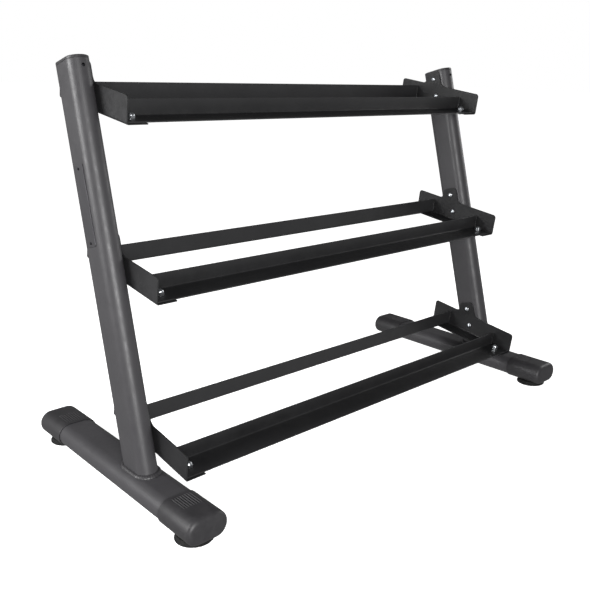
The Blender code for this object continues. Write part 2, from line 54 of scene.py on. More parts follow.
UPRIGHT_LEAN = radians(14.2)
UPRIGHT_DEPTH = 92 * MM
UPRIGHT_LENGTH = 867 * MM
TUBE_WALL = 2.5 * MM
FIRST_TIER = 37 * MM             # along the upright, from the foot beam
TIER_SPACING = 364 * MM
TRAY_TILT = radians(8.5)
TRAY_DEPTH = 300 * MM
TRAY_FRONT_TO_UPRIGHT = 146 * MM
SHEET = 3 * MM
SHEET_EDGE = 0.6 * MM            # rounding of a cut edge under its coat
GAP = 0.3 * MM                   # between faces that rest on each other

BOLT_IN_FROM_SHEET = 26 * MM
BOLT_FROM_TRAY_EDGE = 35.75 * MM
BOLT_THREAD = 10 * MM
BOLT_PITCH = 1.5 * MM
BOLT_HEAD = 20 * MM
BOLT_DOME = 5.5 * MM
BOLT_HEAD_RIM = 0.4 * MM
NUT_WASHER_FACE = 16 * MM        # the round face that the dome nut sits on
NUT_WASHER_FACE_HEIGHT = 0.5 * MM
NUT_FLATS = 17 * MM
NUT_FLATS_HEIGHT = 6.5 * MM
NUT_DOME = 15.5 * MM
NUT_DOME_HEIGHT = 6 * MM
NUT_CHAMFER = 0.97               # of the flats' width, where the turned chamfer starts
NUT_BORE_PAST_BOLT = 1 * MM
THREAD_IN_NUT = 7.5 * MM
THREAD_DEPTH = 0.61              # of its pitch
THREAD_ROWS = 6                  # in one turn
THREAD_SIDES = 32
EAR_BOLT_HEAD = 14 * MM
EAR_BOLT_DOME = 4.4 * MM
EAR_BOLT_SOCKET = 5 * MM         # across the flats of the hexagon key
EAR_BOLT_SHANK = 8 * MM
EAR_BOLT_SHANK_SHOWN = 2.5 * MM
SCREW_RIM = 0.12                 # of a socket screw's head, straight below its dome
SOCKET_FLOOR = 0.35              # of the head's height
EAR_BOLTS_ALONG = (30 * MM, 82 * MM)

SLEEVE_WALL = 2.2 * MM
SLEEVE_LENGTH = 98 * MM          # of beam that a sleeve covers
SLEEVE_LIP = 1.0 * MM
NOSE_DOME = 11 * MM
GRIP_GROOVES = 8
GRIP_PITCH = 5.8 * MM
GRIP_WIDTH = 3.0 * MM
GRIP_LENGTH = 46 * MM
GRIP_FROM_MOUTH = 10 * MM

PAD_WAIST = 74 * MM
PAD_RIM = 3.5 * MM
PAD_SOFT_EDGE = 1.2 * MM
PAD_GROOVE = 0.8 * MM
STUD_THREAD = 10 * MM
STUD_PITCH = 1.5 * MM
STUD_HOLE = 11 * MM

CAP_THICKNESS = 6 * MM
CAP_EDGE = 2 * MM
CAP_SKIRT = 34 * MM
CAP_WALL = 3 * MM
CAP_CROWN_STEP = 3 * MM          # between the rings of its flat top
CAP_CROWN_RINGS = 4
CAP_SCREW_HEAD = 7.5 * MM
CAP_SCREW_RISE = 2.2 * MM
CAP_SCREW_SOCKET = 3 * MM
CAP_SCREW_SHANK = 4 * MM
CAP_SCREW_LENGTH = 9 * MM
CAP_SCREW_BELOW_TOP = 16 * MM
BEAD_SIZE = 6.5 * MM
BEAD_RIPPLE = 4.5 * MM           # from one weld ripple to the next
BEAD_POINTS = 6                  # along one ripple
RIPPLE_OUT = 0.06                # how much of the bead's reach a ripple takes off
RIPPLE_UP = 0.05

PLATE_LENGTH = 172 * MM
PLATE_WIDTH = 40 * MM
PLATE_THICKNESS = 1.5 * MM
PLATE_CORNER = 4 * MM
PLATE_EDGE = 0.4 * MM
PLATE_CENTRE = 568 * MM          # along the upright, from the foot beam
PLATE_SCREW_SPACING = 156 * MM
PLATE_SCREW_HEAD = 6.4 * MM
PLATE_SCREW_RISE = 1.6 * MM
PLATE_SCREW_RIM = 0.3 * MM
CROSS_SLOT = (0.4 * MM, 2.2 * MM)    # half its width and half its length
CROSS_SLOT_FLOOR = 0.8 * MM

ROUND_STEPS = 32                 # sides of a half circle of tube
TURNED_SEGMENTS = 64
NUT_STEPS = 48
SHARP_ANGLE = radians(32)

beam_low, beam_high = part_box("foot_beam_right")
upright_low, upright_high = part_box("upright_right")
pad_low, pad_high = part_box("foot_pad_front_right")
stud_low, stud_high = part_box("foot_stud_front_right")
BEAM_X = (beam_low.x + beam_high.x) / 2
BEAM_WIDTH = beam_high.x - beam_low.x
BEAM_HEIGHT = beam_high.z - beam_low.z
BEAM_LENGTH = beam_high.y - beam_low.y
BEAM_MIDDLE_Z = (beam_low.z + beam_high.z) / 2
FOOT_Y = -(pad_low.y + pad_high.y) / 2
UPRIGHT_WIDTH = upright_high.x - upright_low.x
UPRIGHT_BASE_Z = upright_low.z
UPRIGHT_FOOT_Y = upright_low.y + UPRIGHT_DEPTH / 2 / cos(UPRIGHT_LEAN)
SHEET_FACE_X = BEAM_X - UPRIGHT_WIDTH / 2 - GAP
AXIS = Vector((0, sin(UPRIGHT_LEAN), cos(UPRIGHT_LEAN)))


# ---------------------------------------------------------------- places
def upright_frame(side):
    """Local Z runs up the centre line of an upright, from the foot beam."""
    foot = Matrix.Translation((side * BEAM_X, UPRIGHT_FOOT_Y, UPRIGHT_BASE_Z))
    return foot @ Matrix.Rotation(-UPRIGHT_LEAN, 4, "X")


def beam_frame(side):
    """Local Z runs to the rear along a foot beam, local Y down."""
    return Matrix.Translation((side * BEAM_X, 0, BEAM_MIDDLE_Z)) @ Matrix.Rotation(-pi / 2, 4, "X")


def tray_frame(tier):
    """Local Y runs to the rear along a tier, Z square to it."""
    along = FIRST_TIER + TIER_SPACING * tier
    crossing = Vector((0, UPRIGHT_FOOT_Y, UPRIGHT_BASE_Z)) + AXIS * along
    rearward = Vector((0, cos(TRAY_TILT), sin(TRAY_TILT)))
    front = Matrix.Translation(crossing - rearward * TRAY_FRONT_TO_UPRIGHT)
    return front @ Matrix.Rotation(TRAY_TILT, 4, "X")


# ---------------------------------------------------------------- node helper and colours
def linear(hex_colour):
    """An sRGB hex colour as linear RGBA."""
    channels = [int(hex_colour[n:n + 2], 16) / 255 for n in (1, 3, 5)]
    return [c / 12.92 if c <= 0.04045 else ((c + 0.055) / 1.055) ** 2.4 for c in channels] + [1]


def add_node(tree, kind, settings, links=()):
    """Adds a node; a setting is a socket's or an attribute's name, and a link is (socket, output)."""
    node = tree.nodes.new("ShaderNode" + kind)
    for name, value in settings.items():
        if isinstance(name, int) or name in node.inputs:
            node.inputs[name].default_value = value
        else:
            setattr(node, name, value)
    for socket, output in links:
        tree.links.new(output, node.inputs[socket])
    return node


def new_material(name, **shading):
    """A material with its output wired, its shader and the piece's own coordinates."""
    made = bpy.data.materials.new(name)
    made.use_nodes = True
    tree = made.node_tree
    tree.nodes.clear()
    shader = add_node(tree, "BsdfPrincipled", {key.replace("_", " "): v for key, v in shading.items()})
    add_node(tree, "OutputMaterial", {}, [("Surface", shader.outputs[0])])
    place = add_node(tree, "TexCoord", {}).outputs["Object"]
    return made, tree, shader, place


# ---------------------------------------------------------------- finishes
def powder_coat(name, colour, mottle, worn_edge_and_highlight, roughness):
    """Polyester powder, sprayed on steel and baked. It gives a satin skin with a fine leathery
    orange peel, a slow drift in tone, and a paler line on sharp edges: partly the coat run thin,
    partly a painted highlight where the edges catch the light."""
    made, tree, shader, place = new_material(name, IOR=1.5)
    drift = add_node(tree, "TexNoise", {"Scale": 1 / (70 * MM), "Detail": 3}, [("Vector", place)])
    tone = add_node(
        tree, "MapRange", {"From Min": 0.35, "From Max": 0.65}, [("Value", drift.outputs[0])]
    )
    coat = add_node(
        tree, "Mix", {"data_type": "RGBA", 6: linear(colour), 7: linear(mottle)}, [(0, tone.outputs[0])]
    )
    # painted highlight: convex edges get a paler colour, partly coat run thin, partly light catching the edge
    convex = add_node(tree, "NewGeometry", {}).outputs["Pointiness"]
    edge = add_node(
        tree, "MapRange", {"From Min": 0.54, "From Max": 0.68, "To Max": 0.55}, [("Value", convex)]
    )
    thin = add_node(
        tree,
        "Mix",
        {"data_type": "RGBA", 7: linear(worn_edge_and_highlight)},
        [(0, edge.outputs[0]), (6, coat.outputs[2])],
    )
    tree.links.new(thin.outputs[2], shader.inputs["Base Color"])

    # orange peel is about 1 mm wide, drawn at 3 mm so that it shows from across a room
    peel = add_node(tree, "TexNoise", {"Scale": 1 / (3 * MM), "Detail": 2}, [("Vector", place)])
    speck = add_node(
        tree, "TexVoronoi", {"Scale": 1 / (2.2 * MM), "Randomness": 1.0}, [("Vector", place)]
    )
    texture = add_node(
        tree,
        "Math",
        {"operation": "MULTIPLY_ADD", 1: 0.35},
        [(0, speck.outputs["Distance"]), (2, peel.outputs[0])],
    )
    bump = add_node(
        tree,
        "Bump",
        {"Strength": 0.30, "Distance": 0.35 * MM},
        [("Height", texture.outputs[0])],
    )
    tree.links.new(bump.outputs[0], shader.inputs["Normal"])
    hands = add_node(tree, "TexNoise", {"Scale": 1 / (16 * MM), "Detail": 4}, [("Vector", place)])
    gloss = add_node(
        tree,
        "MapRange",
        {"From Min": 0.3, "From Max": 0.7, "To Min": roughness - 0.06, "To Max": roughness + 0.07},
        [("Value", hands.outputs[0])],
    )
    tree.links.new(gloss.outputs[0], shader.inputs["Roughness"])
    return made


def moulded_polypropylene(name, colour, worn):
    """Polypropylene moulded in a spark-eroded tool. It gives an even, slightly waxy grey-black
    with a fine grain, and faint flow marks in its gloss."""
    made, tree, shader, place = new_material(name, IOR=1.49)
    flow = add_node(
        tree,
        "TexNoise",
        {"Scale": 1 / (25 * MM), "Detail": 2, "Distortion": 1.5},
        [("Vector", place)],
    )
    tone = add_node(
        tree, "MapRange", {"From Min": 0.3, "From Max": 0.7}, [("Value", flow.outputs[0])]
    )
    plastic = add_node(
        tree, "Mix", {"data_type": "RGBA", 6: linear(colour), 7: linear(worn)}, [(0, tone.outputs[0])]
    )
    tree.links.new(plastic.outputs[2], shader.inputs["Base Color"])
    gloss = add_node(tree, "MapRange", {"To Min": 0.40, "To Max": 0.54}, [("Value", flow.outputs[0])])
    tree.links.new(gloss.outputs[0], shader.inputs["Roughness"])
    # the grain is 0.2 mm, drawn at 1.2 mm so that it shows
    grain = add_node(tree, "TexVoronoi", {"Scale": 1 / (1.2 * MM)}, [("Vector", place)])
    bump = add_node(
        tree,
        "Bump",
        {"Strength": 0.25, "Distance": 0.12 * MM},
        [("Height", grain.outputs["Distance"])],
    )
    tree.links.new(bump.outputs[0], shader.inputs["Normal"])
    return made


def moulded_rubber(name, colour, bloom):
    """Natural rubber, compression moulded. It gives a dull black with a powdery bloom in
    patches and a slightly uneven skin."""
    made, tree, shader, place = new_material(name, IOR=1.52, Roughness=0.82)
    patches = add_node(tree, "TexNoise", {"Scale": 1 / (9 * MM), "Detail": 5}, [("Vector", place)])
    powder = add_node(
        tree,
        "MapRange",
        {"From Min": 0.5, "From Max": 0.75, "To Max": 0.6},
        [("Value", patches.outputs[0])],
    )
    skin = add_node(
        tree, "Mix", {"data_type": "RGBA", 6: linear(colour), 7: linear(bloom)}, [(0, powder.outputs[0])]
    )
    tree.links.new(skin.outputs[2], shader.inputs["Base Color"])
    fine = add_node(tree, "TexNoise", {"Scale": 1 / (1.5 * MM), "Detail": 3}, [("Vector", place)])
    bump = add_node(
        tree, "Bump", {"Strength": 0.3, "Distance": 0.15 * MM}, [("Height", fine.outputs[0])]
    )
    tree.links.new(bump.outputs[0], shader.inputs["Normal"])
    return made


def plated_steel(name, colour, passivated, roughness):
    """Turned steel with a barrel-plated or chemical finish. It gives a bright skin with fine
    turning rings round the axis and a faint drift in tint from the passivation."""
    made, tree, shader, place = new_material(name, Metallic=1.0)
    tint = add_node(tree, "TexNoise", {"Scale": 1 / (6 * MM), "Detail": 3}, [("Vector", place)])
    skin = add_node(
        tree,
        "Mix",
        {"data_type": "RGBA", 6: linear(colour), 7: linear(passivated)},
        [(0, tint.outputs[0])],
    )
    tree.links.new(skin.outputs[2], shader.inputs["Base Color"])
    # turning rings are 0.1 mm apart, drawn at 0.6 mm so that they show
    rings = add_node(
        tree,
        "TexWave",
        {"wave_type": "RINGS", "rings_direction": "Z", "Scale": 2 * pi / 20 / (0.6 * MM), "Distortion": 0.6},
        [("Vector", place)],
    )
    gloss = add_node(
        tree,
        "MapRange",
        {"To Min": roughness, "To Max": roughness + 0.12},
        [("Value", rings.outputs["Fac"])],
    )
    tree.links.new(gloss.outputs[0], shader.inputs["Roughness"])
    bump = add_node(
        tree, "Bump", {"Strength": 0.15, "Distance": 0.05 * MM}, [("Height", rings.outputs["Fac"])]
    )
    tree.links.new(bump.outputs[0], shader.inputs["Normal"])
    return made


def brushed_anodised_aluminium(name, colour, bright_line):
    """Aluminium sheet, brushed along its length and anodised grey. It gives long hair lines and
    a soft metallic sheen."""
    made, tree, shader, place = new_material(name, Metallic=0.75)
    stretched = add_node(
        tree, "Mapping", {"Scale": (1 / (60 * MM), 1 / (0.9 * MM), 1)}, [("Vector", place)]
    )
    hair = add_node(tree, "TexNoise", {"Scale": 1, "Detail": 4}, [("Vector", stretched.outputs[0])])
    lines = add_node(
        tree, "MapRange", {"From Min": 0.35, "From Max": 0.7}, [("Value", hair.outputs[0])]
    )
    face = add_node(
        tree, "Mix", {"data_type": "RGBA", 6: linear(colour), 7: linear(bright_line)}, [(0, lines.outputs[0])]
    )
    tree.links.new(face.outputs[2], shader.inputs["Base Color"])
    gloss = add_node(tree, "MapRange", {"To Min": 0.38, "To Max": 0.52}, [("Value", lines.outputs[0])])
    tree.links.new(gloss.outputs[0], shader.inputs["Roughness"])
    bump = add_node(
        tree, "Bump", {"Strength": 0.12, "Distance": 0.05 * MM}, [("Height", hair.outputs[0])]
    )
    tree.links.new(bump.outputs[0], shader.inputs["Normal"])
    return made


# the fourth colour of each coat is its pale edge line: partly coat worn thin, partly a painted highlight
CHARCOAL_COAT = powder_coat("charcoal_satin_powder_coat", "#373638", "#3C3B3D", "#59585B", 0.44)
BLACK_COAT = powder_coat("black_satin_powder_coat", "#1F1F20", "#242425", "#5E5E60", 0.40)
SLEEVE_PLASTIC = moulded_polypropylene("grey_black_polypropylene", "#313032", "#383739")
PAD_RUBBER = moulded_rubber("black_moulded_rubber", "#101010", "#262625")
BRIGHT_ZINC = plated_steel("bright_zinc_plated_steel", "#DEE1E4", "#D2D6DB", 0.24)
BLACK_OXIDE = plated_steel("black_oxide_steel", "#1A1A1B", "#26262A", 0.34)
GREY_PLATE = brushed_anodised_aluminium("grey_anodised_aluminium", "#535255", "#605F62")


# ---------------------------------------------------------------- shop work
def oval(width, depth):
    """The outline of flat-oval tube: two flats joined by half circles."""
    radius = min(width, depth) / 2
    flat = abs(width - depth) / 2
    first = -pi / 2 if width > depth else 0
    points = []
    for end in (0, 1):
        turn = first + pi * end
        centre = Vector((cos(turn + pi / 2), sin(turn + pi / 2))) * flat
        for k in range(ROUND_STEPS + 1):
            angle = turn + pi * k / ROUND_STEPS
            points.append(centre + radius * Vector((cos(angle), sin(angle))))
    return points


def polygon(radius, sides):
    angles = [2 * pi * k / sides for k in range(sides)]
    return [Vector((radius * cos(angle), radius * sin(angle))) for angle in angles]


def circle(radius, height, sides):
    return [(p.x, p.y, height) for p in polygon(radius, sides)]


def finish_mesh(shape, name):
    bmesh.ops.recalc_face_normals(shape, faces=shape.faces)
    mesh = bpy.data.meshes.new(name)
    shape.to_mesh(mesh)
    shape.free()
    mesh.shade_smooth()
    mesh.set_sharp_from_angle(angle=SHARP_ANGLE)
    return mesh


def skin(name, rings, shut=False):
    """A surface through rings of equally many points, capped at its ends or shut into a loop."""
    shape = bmesh.new()
    rows = [[shape.verts.new(place) for place in ring] for ring in rings]
    pairs = list(zip(rows, rows[1:]))
    if shut:
        pairs.append((rows[-1], rows[0]))
    for row, following in pairs:
        for n in range(len(row)):
            shape.faces.new((row[n - 1], row[n], following[n], following[n - 1]))
    if not shut:
        shape.faces.new(rows[0])
        shape.faces.new(rows[-1])
    return finish_mesh(shape, name)


def turn(name, profile, segments=TURNED_SEGMENTS):
    """A solid turned about Z from (radius, height) points whose ends lie on the axis."""
    shape = bmesh.new()
    top = shape.verts.new((0, 0, profile[0][1]))
    bottom = shape.verts.new((0, 0, profile[-1][1]))
    rows = []
    for radius, height in profile[1:-1]:
        rows.append([shape.verts.new(place) for place in circle(radius, height, segments)])
    for n in range(segments):
        shape.faces.new((top, rows[0][n - 1], rows[0][n]))
        for upper, lower in zip(rows, rows[1:]):
            shape.faces.new((upper[n - 1], lower[n - 1], lower[n], upper[n]))
        shape.faces.new((bottom, rows[-1][n], rows[-1][n - 1]))
    return finish_mesh(shape, name)


def quarter(radius, steps=6):
    """(across, up) of a quarter round from its side, (radius, 0), to its top, (0, radius)."""
    angles = [pi / 2 * k / steps for k in range(steps + 1)]
    return [(radius * cos(a), radius * sin(a)) for a in angles]


def dome(edge_radius, height, base, steps=10):
    """(radius, height) points of a low dome, from its top on the axis to its edge."""
    big = (edge_radius**2 + height**2) / (2 * height)
    radii = [edge_radius * k / steps for k in range(steps + 1)]
    return [(r, base + height - big + (big**2 - r**2) ** 0.5) for r in radii]


def thread(name, diameter, pitch, bottom, top, head_profile=()):
    """A screw thread about Z, its ends tapered, under an optional turned head."""
    depth = THREAD_DEPTH * pitch
    count = round((top - bottom) / pitch * THREAD_ROWS)
    no_taper_at_top = 1 if head_profile else 0
    shape = bmesh.new()
    rows = []
    for row in range(count + 1):
        height = bottom + (top - bottom) * row / count
        ring = []
        fade = min(1, (height - bottom) / pitch, (top - height) / pitch + no_taper_at_top)
        for k in range(THREAD_SIDES):
            phase = (height / pitch - k / THREAD_SIDES) % 1
            crest = 1 - abs(2 * phase - 1)
            radius = diameter / 2 - depth * (1 - crest * fade)
            angle = 2 * pi * k / THREAD_SIDES
            ring.append(shape.verts.new((radius * cos(angle), radius * sin(angle), height)))
        rows.append(ring)
    for radius, height in head_profile[:-1]:
        rows.append([shape.verts.new(place) for place in circle(radius, height, THREAD_SIDES)])
    for lower, upper in zip(rows, rows[1:]):
        for n in range(THREAD_SIDES):
            shape.faces.new((lower[n - 1], lower[n], upper[n], upper[n - 1]))
    shape.faces.new(rows[0])
    if head_profile:
        crown = shape.verts.new((0, 0, head_profile[-1][1]))
        for n in range(THREAD_SIDES):
            shape.faces.new((rows[-1][n - 1], rows[-1][n], crown))
    else:
        shape.faces.new(rows[-1])
    return finish_mesh(shape, name)


def carved(mesh, tools):
    """The mesh cut by each tool mesh."""
    blank = bpy.data.objects.new("blank", mesh)
    bpy.context.scene.collection.objects.link(blank)
    helpers = []
    for tool, place in tools:
        helper = bpy.data.objects.new("tool", tool)
        helper.matrix_world = place
        bpy.context.scene.collection.objects.link(helper)
        cut = blank.modifiers.new("cut", "BOOLEAN")
        cut.operation = "DIFFERENCE"
        cut.solver = "EXACT"
        cut.object = helper
        helpers.append(helper)
    bpy.context.view_layer.update()
    evaluated = blank.evaluated_get(bpy.context.evaluated_depsgraph_get())
    result = bpy.data.meshes.new_from_object(evaluated)
    for helper in [blank, *helpers]:
        bpy.data.objects.remove(helper)
    result.shade_smooth()
    result.set_sharp_from_angle(angle=SHARP_ANGLE)
    return result


def joined(name, meshes_and_places):
    """Several separate closed meshes as one."""
    shape = bmesh.new()
    for mesh, place in meshes_and_places:
        moved = mesh.copy()
        moved.transform(place)
        shape.from_mesh(moved)
        bpy.data.meshes.remove(moved)
    mesh = bpy.data.meshes.new(name)
    shape.to_mesh(mesh)
    shape.free()
    return mesh


def prism(name, outline, bottom, top):
    return skin(name, [[(p.x, p.y, height) for p in outline] for height in (bottom, top)])


def fit(name, mesh, finish, place, body="frame", stands_for=(), edge=0):
    """Places one piece, gives it its finish and body, and rounds its edges if edge is set."""
    piece = bpy.data.objects.new(name, mesh)
    bpy.context.scene.collection.objects.link(piece)
    piece.matrix_world = place
    if not mesh.materials:
        mesh.materials.append(finish)
    if edge:
        rounding = piece.modifiers.new("edge", "BEVEL")
        rounding.width = edge
        rounding.segments = 2
        rounding.limit_method = "ANGLE"
        rounding.angle_limit = SHARP_ANGLE
        rounding.harden_normals = True
    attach(piece, body)
    if stands_for:
        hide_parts(*stands_for)
    return piece


# ---------------------------------------------------------------- foot beams and sleeves
def foot_beam(side_name, side):
    """Flat-oval tube with its two drilled holes for the levelling studs."""
    half = BEAM_LENGTH / 2
    outer = oval(BEAM_WIDTH, BEAM_HEIGHT)
    inner = oval(BEAM_WIDTH - 2 * TUBE_WALL, BEAM_HEIGHT - 2 * TUBE_WALL)
    rings = []
    for outline, along in ((outer, -half), (outer, half), (inner, half), (inner, -half)):
        rings.append([(p.x, p.y, along) for p in outline])
    tube = skin("foot_beam_tube", rings, shut=True)
    drill = prism("stud_drill", polygon(STUD_HOLE / 2, 32), -TUBE_WALL * 2, TUBE_WALL * 2)
    to_floor = Matrix.Rotation(pi / 2, 4, "X")
    drills = [
        (drill, Matrix.Translation((0, BEAM_HEIGHT / 2, end * FOOT_Y)) @ to_floor) for _, end in ENDS
    ]
    fit(
        "beam_tube_" + side_name,
        carved(tube, drills),
        CHARCOAL_COAT,
        beam_frame(side),
        stands_for=["foot_beam_" + side_name],
    )


def grip_cutter(height, mouth, end):
    """Round-bottomed grooves along the top of a sleeve, each following its crown."""
    radius = GRIP_WIDTH / 2
    length = GRIP_LENGTH / 2 - radius
    round_end = quarter(radius)
    profile = [(across, length + up) for across, up in reversed(round_end)]
    profile += [(across, -length - up) for across, up in round_end]
    groove = turn("grip_groove", profile, 16)
    places = []
    for k in range(GRIP_GROOVES):
        offset = (k - (GRIP_GROOVES - 1) / 2) * GRIP_PITCH
        past_flat = max(0, abs(offset) - (BEAM_WIDTH - BEAM_HEIGHT) / 2)
        crown = height / 2
        drop = crown - (crown**2 - past_flat**2) ** 0.5
        along = end * (mouth + GRIP_FROM_MOUTH + GRIP_LENGTH / 2)
        places.append(Matrix.Translation((offset, -(height / 2 - drop), along)))
    return joined("grip_grooves", [(groove, place) for place in places])


def end_sleeve(side_name, side, end_name, end):
    """A moulded sleeve: rolled lip at its mouth, ribbed grip on top and a domed nose."""
    width = BEAM_WIDTH + 2 * (SLEEVE_WALL + GAP)
    height = BEAM_HEIGHT + 2 * (SLEEVE_WALL + GAP)
    bore = SLEEVE_WALL
    nose = BEAM_LENGTH / 2 + GAP
    mouth = BEAM_LENGTH / 2 - SLEEVE_LENGTH
    sections = [(nose, bore), (mouth + SLEEVE_LIP, bore)]
    for across, up in quarter(SLEEVE_LIP):
        sections.append((mouth + SLEEVE_LIP - up, bore - SLEEVE_LIP + across))
    for across, up in reversed(quarter(SLEEVE_LIP)):
        sections.append((mouth + SLEEVE_LIP - up, SLEEVE_LIP - across))
    sections.append((nose, 0))
    for across, up in quarter(NOSE_DOME, 12)[1:]:
        sections.append((nose + up, NOSE_DOME - across))
    rings = []
    for along, inset in sections:
        outline = oval(width - 2 * inset, height - 2 * inset)
        rings.append([(p.x, p.y, end * along) for p in outline])
    blank = skin("sleeve_blank", rings)
    hole = prism("sleeve_drill", polygon(STUD_HOLE / 2, 32), -2 * SLEEVE_WALL, 2 * SLEEVE_WALL)
    below = Matrix.Translation((0, height / 2, end * FOOT_Y)) @ Matrix.Rotation(pi / 2, 4, "X")
    tools = [(grip_cutter(height, mouth, end), Matrix()), (hole, below)]
    fit(
        f"sleeve_{end_name}_{side_name}",
        carved(blank, tools),
        SLEEVE_PLASTIC,
        beam_frame(side),
        stands_for=[f"end_sleeve_{end_name}_{side_name}"],
    )


# ---------------------------------------------------------------- levelling feet
def levelling_foot(side_name, side, end_name, end, pad_mesh, stud_mesh):
    """The pad slides up and down; the threaded stud turns in it."""
    place = Matrix.Translation((side * BEAM_X, end * FOOT_Y, 0))
    label = f"{end_name}_{side_name}"
    fit("pad_rubber_" + label, pad_mesh, PAD_RUBBER, place, "pad_" + label, ["foot_pad_" + label])
    fit("stud_thread_" + label, stud_mesh, BRIGHT_ZINC, place, "stud_" + label, ["foot_stud_" + label])


def pad_shape():
    """A waisted rubber disc on a thin wider rim, with a socket for the stud."""
    outer = (pad_high.x - pad_low.x) / 2
    top = pad_high.z
    waist = PAD_WAIST / 2
    socket = STUD_HOLE / 2
    floor = stud_low.z - GAP
    soft = PAD_SOFT_EDGE
    groove = PAD_GROOVE
    profile = [(0, floor), (socket, floor), (socket, top)]
    profile += [(waist - soft + across, top - soft + up) for across, up in reversed(quarter(soft))]
    middle = (top + PAD_RIM) / 2
    profile += [(waist, middle + groove), (waist - groove, middle), (waist, middle - groove)]
    profile += [(waist, PAD_RIM + groove), (waist + groove, PAD_RIM)]
    profile += [(outer - soft + across, PAD_RIM - soft + up) for across, up in reversed(quarter(soft))]
    profile += [(outer - groove + across, groove - up) for across, up in quarter(groove)]
    profile.append((0, 0))
    return turn("pad", profile)


# ---------------------------------------------------------------- uprights
def upright(side_name, side):
    """Flat-oval tube, mitred to the top of the foot beam, with a softened top rim."""
    rim = 0.5 * MM
    levels = [(0, None), (0, UPRIGHT_LENGTH - rim), (rim, UPRIGHT_LENGTH)]
    levels += [(TUBE_WALL - rim, UPRIGHT_LENGTH), (TUBE_WALL, UPRIGHT_LENGTH - rim), (TUBE_WALL, None)]
    rings = []
    for inset, level in levels:
        outline = oval(UPRIGHT_WIDTH - 2 * inset, UPRIGHT_DEPTH - 2 * inset)
        mitre = tan(UPRIGHT_LEAN)
        rings.append([(p.x, p.y, p.y * mitre if level is None else level) for p in outline])
    mesh = skin("upright_tube", rings, shut=True)
    place = upright_frame(side)
    fit("upright_tube_" + side_name, mesh, CHARCOAL_COAT, place, "frame", ["upright_" + side_name])


def weld_bead(side_name, side):
    """A fillet weld round the foot of the upright, its ripples softened by the coat."""
    section = [(GAP, GAP)] + [(GAP + across, GAP + up) for across, up in quarter(BEAD_SIZE, 10)]
    outline = oval(UPRIGHT_WIDTH, UPRIGHT_DEPTH / cos(UPRIGHT_LEAN))
    around = []
    walked = 0
    for n, point in enumerate(outline):
        walked += (point - outline[n - 1]).length if n else 0
        around.append(walked)
    length = walked + (outline[0] - outline[-1]).length
    ripples = round(length / BEAD_RIPPLE)
    fine = []
    for n, point in enumerate(outline):
        following = outline[(n + 1) % len(outline)]
        stretch = (following - point).length
        steps = max(1, round(stretch / (BEAD_RIPPLE / BEAD_POINTS)))
        for k in range(steps):
            fine.append((point.lerp(following, k / steps), around[n] + stretch * k / steps))
    rings = []
    for out, up in section:
        ring = []
        scale_x = (UPRIGHT_WIDTH / 2 + out) / (UPRIGHT_WIDTH / 2)
        for point, along in fine:
            flat = max(0, abs(point.y) - (UPRIGHT_DEPTH / cos(UPRIGHT_LEAN) - UPRIGHT_WIDTH) / 2)
            heading = Vector((point.x, flat if point.y > 0 else -flat)).normalized()
            ripple = 0.5 + 0.5 * cos(2 * pi * ripples * along / length)
            proud = out - (out - GAP) * RIPPLE_OUT * ripple
            high = up - (up - GAP) * RIPPLE_UP * ripple
            place = point + heading * proud
            ring.append((place.x, place.y + high * tan(UPRIGHT_LEAN), high))
        rings.append(ring)
    foot = Matrix.Translation((side * BEAM_X, UPRIGHT_FOOT_Y, beam_high.z))
    mesh = skin("weld", rings, shut=True)
    fit("weld_ripples_" + side_name, mesh, CHARCOAL_COAT, foot, "frame", ["weld_bead_" + side_name])


def top_cap(side_name, side):
    """A moulded cap with a soft edge and a skirt that plugs the tube."""
    seat = UPRIGHT_LENGTH + GAP
    plug = TUBE_WALL + GAP
    sections = [(seat - CAP_SKIRT, plug + CAP_WALL), (seat - CAP_SKIRT, plug), (seat, plug), (seat, 0)]
    for across, up in quarter(CAP_EDGE):
        sections.append((seat + CAP_THICKNESS - CAP_EDGE + up, CAP_EDGE - across))
    for k in range(CAP_CROWN_RINGS):
        sections.append((seat + CAP_THICKNESS, CAP_EDGE + (k + 1) * CAP_CROWN_STEP))
    rings = []
    for level, inset in sections:
        outline = oval(UPRIGHT_WIDTH - 2 * inset, UPRIGHT_DEPTH - 2 * inset)
        rings.append([(p.x, p.y, level) for p in outline])
    mesh = skin("cap", rings)
    place = upright_frame(side)
    fit("cap_moulding_" + side_name, mesh, SLEEVE_PLASTIC, place, "frame", ["top_cap_" + side_name])


def socket_screw(name, head, rise, socket, shank, length):
    """A button-head screw with a hexagon socket, its underside at Z 0."""
    lip = SCREW_RIM * head
    profile = [(r, z) for r, z in dome(head / 2, rise - lip, lip)]
    profile += [(head / 2, 0), (shank / 2, 0), (shank / 2, -length), (0, -length)]
    blank = turn(name, profile, 48)
    key = prism("key", polygon(socket / 2 / cos(pi / 6), 6), rise * SOCKET_FLOOR, rise * 2)
    return carved(blank, [(key, Matrix())])


def cap_screws():
    """A small screw through the front of each upright holds its cap."""
    mesh = socket_screw(
        "cap_screw", CAP_SCREW_HEAD, CAP_SCREW_RISE, CAP_SCREW_SOCKET, CAP_SCREW_SHANK, CAP_SCREW_LENGTH
    )
    front = Matrix.Translation((0, -UPRIGHT_DEPTH / 2 - GAP, UPRIGHT_LENGTH - CAP_SCREW_BELOW_TOP))
    for side_name, side in SIDES:
        place = upright_frame(side) @ front @ Matrix.Rotation(pi / 2, 4, "X")
        node = "top_cap_screw_" + side_name
        fit("cap_screw_head_" + side_name, mesh, BLACK_OXIDE, place, "frame", [node])


def rounded_rectangle(length, width, radius, steps=8):
    points = []
    for n in range(4):
        turn_angle = pi / 2 * n
        x = (length / 2 - radius) * (1 if n in (0, 3) else -1)
        y = (width / 2 - radius) * (1 if n in (0, 1) else -1)
        for k in range(steps + 1):
            angle = turn_angle + pi / 2 * k / steps
            points.append(Vector((x + radius * cos(angle), y + radius * sin(angle))))
    return points


